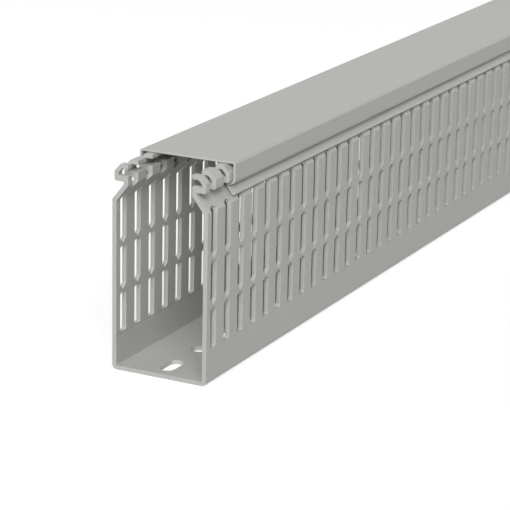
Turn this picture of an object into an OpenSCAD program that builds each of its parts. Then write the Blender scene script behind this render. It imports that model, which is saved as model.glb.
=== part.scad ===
// Slotted wire duct with its clip-on cover, cut from stock and lying on its base.
// The duct is one PVC extrusion: a base and two side walls. Each wall leans in near its top and
// ends in a C-shaped head. Slots punched through both walls leave a comb of fingers, which thin
// break-off webs hold together. The cover is a second extrusion: its sides close round the heads,
// fold back in the notch below them and flare out over the leaning part of the wall.
// Length runs along Y with the open end at -Y, X is across the duct and Z is up. Millimetres.

/* [Stock] */
// length of the duct, and of its cover
duct_len = 1000; // [200:10:2000]
// how far the cover is slid back from the open end
cover_back = 19.2; // [0:0.1:60]

/* [Duct section] */
// outside width across the side walls
duct_w = 37.5; // [30:0.5:80]
// height to the top of the heads
duct_h = 75; // [60:1:100]
// thickness of the side walls
wall_t = 1.65; // [1.2:0.05:2.2]
// thickness of the base
base_t = 1.6; // [1.2:0.05:2.5]
// radius of the two outer edges along the base
base_edge_r = 2; // [0.5:0.1:3]

/* [Head section] */
// height of the bend where the wall starts to lean in, below the top
bend_drop = 12.8; // [11:0.1:16]
// angle of the leaning part, above the horizontal
lean_angle = 52; // [45:1:60]
// how far the root of the cover's notch lies in from the outside of the wall
notch_depth = 4.5; // [3.5:0.1:5.5]
// height of the C, from the underside of its lower arm to the top
head_h = 6.1; // [5.5:0.1:7]
// thickness of the upper arm
arm_t = 1.5; // [1.2:0.1:2]
// thickness of the nose between the arms
nose_t = 1.5; // [1.2:0.1:2]
// height of the nose's slanted face, below the top
nose_drop = 2.6; // [1.5:0.1:3.5]
// angle of the nose's slanted face, above the horizontal
nose_angle = 48; // [40:1:60]
// thickness of the lower arm
lower_arm_t = 2; // [1.5:0.1:2.4]
// how far the tips of the two arms lie in from the outside of the wall
arm_tip_depth = 6.3; // [5.8:0.1:7.5]
// radius of the nose's lower edge
nose_edge_r = 0.75; // [0.3:0.05:1]

/* [Slots] */
// distance from slot to slot along the duct
slot_pitch = 10; // [8:0.5:20]
// distance from the open end to the middle of the first slot
first_slot = 4.7; // [3.5:0.1:10]
// width of a slot
slot_w = 4.2; // [3:0.1:6]
// height of the lowest edge of the slots
slot_bottom = 13; // [8:0.5:30]
// corner radius at the foot of a slot
slot_corner_r = 1; // [0.3:0.1:1.5]
// height of the lower break-off web
web_z = 28.2; // [24:0.2:36]
// distance from the lower web to the upper one
web_spacing = 17; // [14:0.5:20]
// thickness of a web at its neck
web_neck = 0.6; // [0.4:0.05:1.2]
// depth of the V above a web
web_v_depth = 1.8; // [1:0.1:2.5]
// height of the break-off web on the leaning part, above the bend
top_web_rise = 2.5; // [2:0.1:4]
// thickness of that web at its neck
top_web_neck = 1.6; // [0.6:0.1:2]
// depth of the V above that web
top_web_v_depth = 2.4; // [1:0.1:3]
// depth of the inverted V below a web
web_under_depth = 0.9; // [0.4:0.1:1.5]
// depth of the score line along the inside of the walls, where fingers are broken off
score_depth = 0.25; // [0.1:0.05:0.5]
// height of the score line below the foot of the slots
score_drop = 0.7; // [0.5:0.1:2]

/* [Mounting holes] */
// distance between a long hole and the round hole next to it
mount_pitch = 20; // [15:1:40]
// distance from the open end to the middle of the first long hole
mount_start = 9.7; // [8:0.1:30]
// length of a long hole
mount_len = 12; // [8:0.5:14]
// width of the long holes
mount_w = 5.6; // [4:0.1:7]
// diameter of the round holes
mount_d = 6; // [4:0.1:8]

/* [Cover section] */
// thickness of the cover
cover_t = 0.8; // [0.7:0.05:1.2]
// how far the cover's sides stand out past the walls below
cover_proud = 0.15; // [0:0.05:0.5]
// clearance between cover and heads
fit = 0.2; // [0.1:0.05:0.4]
// radius of the cover's two upper edges, inside
cover_edge_r = 0.3; // [0.1:0.05:0.6]
// fall of the hook, from the bend below the nose in to the notch
hook_angle = 22; // [5:1:30]
// clearance between the skirt and the leaning part of the wall
skirt_gap = 0.5; // [0.2:0.05:0.8]
// length of the skirt down the leaning part of the wall
skirt_len = 4.9; // [3:0.1:6]

/* [Hidden] */
$fn = 48;
eps = 1; // how far a cutter runs past the face that it opens

half_w = duct_w / 2;
inner_x = half_w - wall_t;
bend_z = duct_h - bend_drop;
inner_bend_z = bend_z - wall_t * tan((90 - lean_angle) / 2);
lean_rise = tan(lean_angle);

notch_x = half_w - notch_depth;
notch_z = bend_z + notch_depth * lean_rise;
arm_tip_x = half_w - arm_tip_depth;
inner_lean_z = inner_bend_z + (inner_x - arm_tip_x) * lean_rise;

// nose of the C: its outside is set in, to leave room for the cover's side
nose_x = half_w + cover_proud - cover_t - fit;
head_z = duct_h - head_h;
nose_top_z = duct_h - nose_drop;

// the hollow of the C, whose back is parallel to the outside of the nose
cavity_z = head_z + lower_arm_t;
cavity_top_z = duct_h - arm_t;
cavity_x = nose_x - nose_t;

slot_count = floor((duct_len - first_slot - slot_w / 2) / slot_pitch) + 1;
mount_count = floor((duct_len - mount_start - mount_len / 2) / mount_pitch) + 1;

cover_z = duct_h + fit;
cover_x = nose_x + fit;

duct_color = [0.70, 0.71, 0.67];

// x of the nose's slanted face at a height
function nose_slant_x(z) = nose_x - (z - nose_top_z) / tan(nose_angle);

// distance of a point from the outer face of the leaning part
function lean_offset(p) = (p[0] - half_w) * sin(lean_angle) + (p[1] - bend_z) * cos(lean_angle);

// point at a distance and an angle from another
function polar(from, r, angle) = from + r * [cos(angle), sin(angle)];

// ---- duct ----

// the leaning part of the right wall and the C-shaped head on it
module head_outline() {
    slant_t = nose_t / sin(nose_angle); // thickness of the slanted nose, measured level
    edge_x = nose_x - nose_edge_r;
    edge_z = head_z + nose_edge_r;
    difference() {
        union() {
            polygon([
                [inner_x, inner_bend_z], [half_w, bend_z], [notch_x, notch_z],
                [notch_x, head_z + eps], [arm_tip_x, head_z + eps], [arm_tip_x, inner_lean_z]
            ]);
            polygon([
                [arm_tip_x, head_z], [edge_x, head_z], [nose_x, edge_z],
                [nose_x, nose_top_z], [nose_slant_x(duct_h), duct_h], [arm_tip_x, duct_h]
            ]);
            translate([edge_x, edge_z]) circle(nose_edge_r);
        }
        polygon([
            [arm_tip_x - eps, cavity_z], [cavity_x, cavity_z],
            [cavity_x, nose_top_z + (nose_x - slant_t - cavity_x) * tan(nose_angle)],
            [nose_slant_x(cavity_top_z) - slant_t, cavity_top_z], [arm_tip_x - eps, cavity_top_z]
        ]);
    }
}

// base and walls up to the bend: rounded along the outside, square along the inside
module channel_outline() {
    difference() {
        union() {
            translate([-half_w, base_edge_r]) square([duct_w, bend_z - base_edge_r]);
            translate([base_edge_r - half_w, 0]) square([duct_w - 2 * base_edge_r, bend_z]);
            for (side = [-1, 1])
                translate([side * (half_w - base_edge_r), base_edge_r]) circle(base_edge_r);
        }
        translate([-inner_x, base_t]) square([2 * inner_x, bend_z]);
    }
}

module duct_outline() {
    difference() {
        union() {
            channel_outline();
            for (side = [0, 1]) mirror([side, 0]) head_outline();
        }
        // V-shaped score line along the inside of each wall
        for (side = [0, 1]) mirror([side, 0])
            translate([inner_x, slot_bottom - score_drop])
                rotate(45) square(sqrt(2) * score_depth, center = true);
    }
}

// one window of a slot, down to the V of the web below it and up to the web above
module window(from, to, v_depth = web_v_depth) {
    polygon([
        [0, from - v_depth], [slot_w / 2, from], [slot_w / 2, to],
        [0, to + web_under_depth], [-slot_w / 2, to], [-slot_w / 2, from]
    ]);
}

// the lowest window of a slot, whose foot is flat with rounded corners
module foot_window(to) {
    square_z = slot_bottom + slot_corner_r;
    window(square_z + web_v_depth, to);
    translate([-slot_w / 2, square_z]) square([slot_w, to - square_z]);
    translate([slot_corner_r - slot_w / 2, slot_bottom])
        square([slot_w - 2 * slot_corner_r, slot_corner_r]);
    for (side = [-1, 1])
        translate([side * (slot_w / 2 - slot_corner_r), square_z]) circle(slot_corner_r);
}

// a whole slot in side view: the windows between the webs and the cut through the head
module slot_outline() {
    above = web_neck / 2 + web_v_depth; // web's middle to the corners of the window above it
    below = web_neck / 2 + web_under_depth;
    upper_web_z = web_z + web_spacing;
    top_web_z = bend_z + top_web_rise;
    foot_window(web_z - below);
    window(web_z + above, upper_web_z - below);
    window(upper_web_z + above, top_web_z - top_web_neck / 2 - web_under_depth);
    window(top_web_z + top_web_neck / 2 + top_web_v_depth, duct_h + eps, top_web_v_depth);
}

module mount_holes() {
    for (i = [0 : mount_count - 1])
        translate([0, mount_start + i * mount_pitch - duct_len / 2, -eps])
            linear_extrude(base_t + 2 * eps)
                if (i % 2 == 0) {
                    square([mount_w, mount_len - mount_w], center = true);
                    for (end = [-1, 1])
                        translate([0, end * (mount_len - mount_w) / 2]) circle(d = mount_w);
                } else circle(d = mount_d);
}

module trough() {
    color(duct_color)
        difference() {
            translate([0, duct_len / 2, 0]) rotate([90, 0, 0])
                linear_extrude(duct_len) duct_outline();
            for (i = [0 : slot_count - 1])
                translate([-duct_w, first_slot + i * slot_pitch - duct_len / 2, 0])
                    rotate([90, 0, 90]) linear_extrude(2 * duct_w) slot_outline();
            mount_holes();
        }
}

// ---- cover ----

// a bend in the cover's sheet about the origin, up to a quarter turn
module bend(inner_r, from, to) {
    outer_r = inner_r + cover_t;
    intersection() {
        difference() {
            circle(outer_r);
            circle(inner_r);
        }
        polygon([[0, 0], polar([0, 0], 2 * outer_r, from), polar([0, 0], 2 * outer_r, to)]);
    }
}

// one side of the cover: half the top, the side, the hook below the nose and the skirt
module cover_side_outline() {
    // top and side, with the bend between them
    translate([0, cover_z]) square([cover_x - cover_edge_r, cover_t]);
    translate([cover_x - cover_edge_r, cover_z - cover_edge_r]) bend(cover_edge_r, 0, 90);
    hook_turn = [nose_x - nose_edge_r, head_z + nose_edge_r]; // the nose's rounded edge
    translate([cover_x, hook_turn[1]])
        square([cover_t, cover_z - cover_edge_r - hook_turn[1]]);
    // hook: round the nose's edge, then in to the notch
    hook_r = nose_edge_r + fit;
    translate(hook_turn) bend(hook_r, hook_angle - 90, 0);
    hook_in = polar(hook_turn, hook_r, hook_angle - 90);
    hook_out = polar(hook_turn, hook_r + cover_t, hook_angle - 90);
    // where the hook's two faces meet those of the skirt
    fold_sin = sin(lean_angle + hook_angle);
    fold_in = polar(hook_in, (skirt_gap - lean_offset(hook_in)) / fold_sin, hook_angle);
    fold_out = polar(hook_out, (skirt_gap + cover_t - lean_offset(hook_out)) / fold_sin, hook_angle);
    // skirt, along the leaning part of the wall
    tip_in = polar(fold_in, skirt_len, -lean_angle);
    tip_out = polar(tip_in, cover_t, 90 - lean_angle);
    polygon([hook_in, fold_in, tip_in, tip_out, fold_out, hook_out]);
}

module cover() {
    color(duct_color)
        translate([0, duct_len / 2 + cover_back, 0]) rotate([90, 0, 0])
            linear_extrude(duct_len)
                for (side = [0, 1]) mirror([side, 0]) cover_side_outline();
}

trough();
cover();
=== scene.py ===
"""Looks for the slotted wire duct: satin PVC on its trough and cover, a pale floor, soft light, the camera.

Everything is in metres in the part's own frame: X across the duct, Y along it, Z up.
"""

import math

import bpy
from mathutils import Matrix, Vector


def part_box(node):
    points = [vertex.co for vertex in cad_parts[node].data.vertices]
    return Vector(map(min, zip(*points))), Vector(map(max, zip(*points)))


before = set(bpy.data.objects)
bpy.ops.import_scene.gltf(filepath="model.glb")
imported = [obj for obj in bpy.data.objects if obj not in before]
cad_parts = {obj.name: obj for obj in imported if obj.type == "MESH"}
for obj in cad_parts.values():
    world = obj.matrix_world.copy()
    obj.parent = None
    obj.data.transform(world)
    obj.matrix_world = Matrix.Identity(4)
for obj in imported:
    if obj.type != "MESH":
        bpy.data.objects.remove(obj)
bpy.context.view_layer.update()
scene = bpy.context.scene
scene.view_settings.view_transform = "Standard"

MM = 0.001
BLACK = (0.0, 0.0, 0.0, 1.0)
WHITE = (1.0, 1.0, 1.0, 1.0)


# ---- shader maths ----


class Socket:
    """A node's output, with which shader maths is written as Python expressions."""

    def __init__(self, graph, output):
        self.graph = graph
        self.output = output

    def _math(self, operation, *values):
        return self.graph.add("ShaderNodeMath", {"operation": operation}, dict(enumerate(values)))

    def __add__(self, other):
        return self._math("ADD", self, other)

    def __radd__(self, other):
        return self._math("ADD", other, self)

    def __sub__(self, other):
        return self._math("SUBTRACT", self, other)

    def __rsub__(self, other):
        return self._math("SUBTRACT", other, self)

    def __mul__(self, other):
        return self._math("MULTIPLY", self, other)

    def __rmul__(self, other):
        return self._math("MULTIPLY", other, self)

    def __or__(self, other):
        return self._math("MAXIMUM", self, other)

    def __abs__(self):
        return self._math("ABSOLUTE", self)

    def step_up(self, start, end):
        """0 below start, 1 above end, and smooth between them."""
        return self.graph.add(
            "ShaderNodeMapRange",
            {"interpolation_type": "SMOOTHSTEP", "clamp": True},
            {"Value": self, "From Min": start, "From Max": end, "To Min": 0.0, "To Max": 1.0},
        )


class Graph:
    """A node tree under construction."""

    def __init__(self, tree):
        self.tree = tree

    def add(self, kind, settings=None, inputs=None, output=0):
        """Adds a node: its settings first, then the values or links of its sockets."""
        node = self.tree.nodes.new(kind)
        for key, value in (settings or {}).items():
            setattr(node, key, value)
        for key, value in (inputs or {}).items():
            self.put(node.inputs[key], value)
        return Socket(self, node.outputs[output])

    def put(self, socket, value):
        """Sets a socket, or links it when the value is another socket."""
        if isinstance(value, Socket):
            self.tree.links.new(value.output, socket)
        else:
            socket.default_value = value

    def blend(self, amount, first, second):
        """Mixes two colours."""
        node = self.tree.nodes.new("ShaderNodeMix")
        node.data_type = "RGBA"
        self.put(node.inputs[0], amount)
        self.put(node.inputs[6], first)
        self.put(node.inputs[7], second)
        return Socket(self, node.outputs[2])

    def seen(self):
        """1 where the eye or a reflection looks, and 0 for the light that surfaces give each other."""
        camera, glossy, through = (
            self.add("ShaderNodeLightPath", output=ray)
            for ray in ("Is Camera Ray", "Is Glossy Ray", "Is Transmission Ray")
        )
        return camera | glossy | through


class Finish(Graph):
    """A material under construction."""

    def __init__(self, name):
        self.material = bpy.data.materials.new(name)
        self.material.use_nodes = True
        super().__init__(self.material.node_tree)
        self.surface = self.tree.nodes["Principled BSDF"].inputs

    def place(self, kind="Object"):
        """Where the surface is, or which way it faces, in the duct's own frame."""
        return self.add("ShaderNodeTexCoord", output=kind)

    def noise(self, cells, detail=2.0, roughness=0.5):
        """Noise with its own number of cells per metre along X, Y and Z."""
        stretched = self.add("ShaderNodeMapping", None, {0: self.place(), "Scale": cells}, "Vector")
        return self.add(
            "ShaderNodeTexNoise",
            {"noise_dimensions": "3D"},
            {"Vector": stretched, "Scale": 1.0, "Detail": detail, "Roughness": roughness},
            "Fac",
        )


def grey(value, tint=(1.0, 1.0, 1.0)):
    """A colour of that linear brightness, with a slight tint."""
    return (value * tint[0], value * tint[1], value * tint[2], 1.0)


# ---- PVC ----

STONE_TINT = (1.0, 1.004, 0.96)
PVC_BRIGHTNESS = 0.5
PVC_ROUGHNESS = 0.46
PVC_IOR = 1.53
EDGE_ROUND = 0.2 * MM
RELIEF_DEPTH = 0.02 * MM

# Cells per metre along X, Y and Z of each pattern.
DRAW_LINES = (2200.0, 6.0, 2200.0)
CLOUDS = (40.0, 9.0, 40.0)
GRAIN = (2600.0, 2600.0, 2600.0)
PUNCH_LINES = (250.0, 900.0, 5200.0)

# Darkest and lightest shade of each kind of face, as shares of the PVC's brightness.
DRAWN_SHADES = (0.95, 1.05)
# Punched faces: painted light, lighter than the drawn faces in place of light that the lamps leave short on
# the slot jambs.
PUNCHED_PAINTED_LIGHT_SHADES = (1.06, 1.18)
SAWN_SHADES = (0.94, 1.07)

NEAR_END, FAR_END = (corner[1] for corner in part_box("trough"))


def extruded_pvc(name):
    """Stone-grey rigid PVC: faint lines along its drawn faces, painted light that lightens its punched faces,
    dull sawn ends.
    """
    pvc = Finish(name)
    facing = pvc.add("ShaderNodeSeparateXYZ", None, {0: pvc.place("Normal")}, "Y")
    along = pvc.add("ShaderNodeSeparateXYZ", None, {0: pvc.place()}, "Y")
    cut = abs(facing).step_up(0.35, 0.6)
    sawn = abs(along).step_up(FAR_END - 1.0 * MM, FAR_END - 0.5 * MM)

    draw_lines = pvc.noise(DRAW_LINES, detail=3.0, roughness=0.6)
    clouds = pvc.noise(CLOUDS)
    grain = pvc.noise(GRAIN, roughness=0.7)
    punch_lines = pvc.noise(PUNCH_LINES, roughness=0.6)

    drawn_dark, drawn_light = (grey(PVC_BRIGHTNESS * shade, STONE_TINT) for shade in DRAWN_SHADES)
    # The cut faces' colour carries painted light: the punched shades lighten the slot jambs and the cover's
    # near end in place of light; the sawn ends keep their own tone.
    cut_dark_with_painted_light, cut_light_with_painted_light = (
        pvc.blend(sawn, grey(PVC_BRIGHTNESS * punched, STONE_TINT), grey(PVC_BRIGHTNESS * end, STONE_TINT))
        for punched, end in zip(PUNCHED_PAINTED_LIGHT_SHADES, SAWN_SHADES)
    )
    drawn_colour = pvc.blend(draw_lines * 0.55 + clouds * 0.45, drawn_dark, drawn_light)
    cut_colour_with_painted_light = pvc.blend(punch_lines * 0.7 + grain * 0.3, cut_dark_with_painted_light, cut_light_with_painted_light)
    pvc.put(pvc.surface["Base Color"], pvc.blend(cut, drawn_colour, cut_colour_with_painted_light))
    pvc.put(pvc.surface["Roughness"], PVC_ROUGHNESS + draw_lines * 0.08 + cut * 0.16)
    pvc.put(pvc.surface["IOR"], PVC_IOR)

    rounded = pvc.add("ShaderNodeBevel", {"samples": 6}, {"Radius": EDGE_ROUND}, "Normal")
    relief = (1 - cut) * draw_lines * 0.5 + (1 - cut) * grain * 0.25 + cut * punch_lines * 1.2
    bump = pvc.add(
        "ShaderNodeBump",
        None,
        {"Height": relief, "Strength": 0.25, "Distance": RELIEF_DEPTH, "Normal": rounded},
        "Normal",
    )
    pvc.put(pvc.surface["Normal"], bump)
    return pvc.material


def dress(node, material):
    """Gives a CAD node its material."""
    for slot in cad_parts[node].material_slots:
        slot.material = material


dress("trough", extruded_pvc("duct_pvc_looks"))
dress("cover", extruded_pvc("cover_pvc_looks"))


# ---- floor, light and camera ----

FLOOR_SIZE = 24.0
FLOOR_BRIGHTNESS = 0.62
# The floor's own glow beside the duct, which turns to full white between these two distances from the origin.
FLOOR_GLOW = 0.56
FLOOR_FADE = (0.7, 1.3)

LAMP_AIM = Vector((0.0, NEAR_END + 0.15, 0.04))
LAMP_DISTANCE = 5.0


def pale_floor():
    """A floor that looks white, and that keeps the duct's soft shadow."""
    bpy.ops.object.select_all(action="DESELECT")
    bpy.ops.mesh.primitive_plane_add(size=FLOOR_SIZE, location=(0.0, 0.0, 0.0))
    floor = bpy.context.object
    floor.name = "floor"
    paint = Finish("floor_paint")
    away = paint.add("ShaderNodeVectorMath", {"operation": "LENGTH"}, {0: paint.place()}, "Value")
    glow = paint.blend(away.step_up(*FLOOR_FADE), grey(FLOOR_GLOW), WHITE)
    paint.put(paint.surface["Base Color"], grey(FLOOR_BRIGHTNESS))
    paint.put(paint.surface["Roughness"], 0.9)
    paint.put(paint.surface["Emission Color"], paint.blend(paint.seen(), BLACK, glow))
    paint.put(paint.surface["Emission Strength"], 1.0)
    paint.material.cycles.emission_sampling = "NONE"
    floor.data.materials.append(paint.material)


def white_surroundings():
    """A world that looks white, and that lights the duct only in its reflections."""
    world = bpy.data.worlds.new("studio")
    world.use_nodes = True
    scene.world = world
    room = Graph(world.node_tree)
    glow = world.node_tree.nodes["Background"].inputs
    room.put(glow["Color"], room.blend(room.seen(), BLACK, WHITE))
    room.put(glow["Strength"], 1.0)


def softbox(name, azimuth, elevation, strength, spread):
    """A wide, far lamp, with its angles and its spread in degrees.

    Azimuth 0 faces the open end and 90 the right wall. Strength 1 makes a white face turned to it white.
    """
    across, up = math.radians(azimuth), math.radians(elevation)
    towards = Vector((math.sin(across) * math.cos(up), -math.cos(across) * math.cos(up), math.sin(up)))
    bpy.ops.object.light_add(type="AREA", location=LAMP_AIM + towards * LAMP_DISTANCE)
    lamp = bpy.context.object
    lamp.name = name
    lamp.data.shape = "SQUARE"
    lamp.data.size = 2.0 * LAMP_DISTANCE * math.tan(math.radians(spread / 2.0))
    lamp.data.energy = strength * (math.pi * LAMP_DISTANCE) ** 2
    lamp.rotation_euler = towards.to_track_quat("Z", "Y").to_euler()


pale_floor()
white_surroundings()
softbox("right_softbox", azimuth=33.0, elevation=39.0, strength=0.55, spread=30.0)
softbox("front_softbox", azimuth=12.0, elevation=32.0, strength=0.31, spread=30.0)
softbox("top_softbox", azimuth=0.0, elevation=60.0, strength=0.13, spread=30.0)
softbox("left_softbox", azimuth=-90.0, elevation=22.0, strength=0.3, spread=40.0)
softbox("back_softbox", azimuth=160.0, elevation=25.0, strength=0.13, spread=40.0)

# The camera looks along the duct from its open end, from the right and a little above.
VIEW_AZIMUTH = math.radians(26.82)
VIEW_ELEVATION = math.radians(16.955)
VIEW_ROLL = math.radians(1.144)
VIEW_DISTANCE = 0.78804
VIEW_AIM = Vector((0.02356, NEAR_END + 0.02614, 0.04163))
SENSOR_WIDTH_MM = 36.0
FOCAL_LENGTH_MM = 159.28
VIEW_REACH = 50.0


def place_camera():
    """A camera with no shift, turned about its aim near the open end."""
    away = Vector((
        math.sin(VIEW_AZIMUTH) * math.cos(VIEW_ELEVATION),
        -math.cos(VIEW_AZIMUTH) * math.cos(VIEW_ELEVATION),
        math.sin(VIEW_ELEVATION),
    ))
    camera = bpy.data.objects.new("camera", bpy.data.cameras.new("camera"))
    scene.collection.objects.link(camera)
    camera.data.sensor_width = SENSOR_WIDTH_MM
    camera.data.lens = FOCAL_LENGTH_MM
    camera.data.clip_end = VIEW_REACH
    upright = away.to_track_quat("Z", "Y").to_matrix().to_4x4()
    camera.matrix_world = (
        Matrix.Translation(VIEW_AIM + away * VIEW_DISTANCE)
        @ upright
        @ Matrix.Rotation(VIEW_ROLL, 4, "Z")
    )
    scene.camera = camera


place_camera()
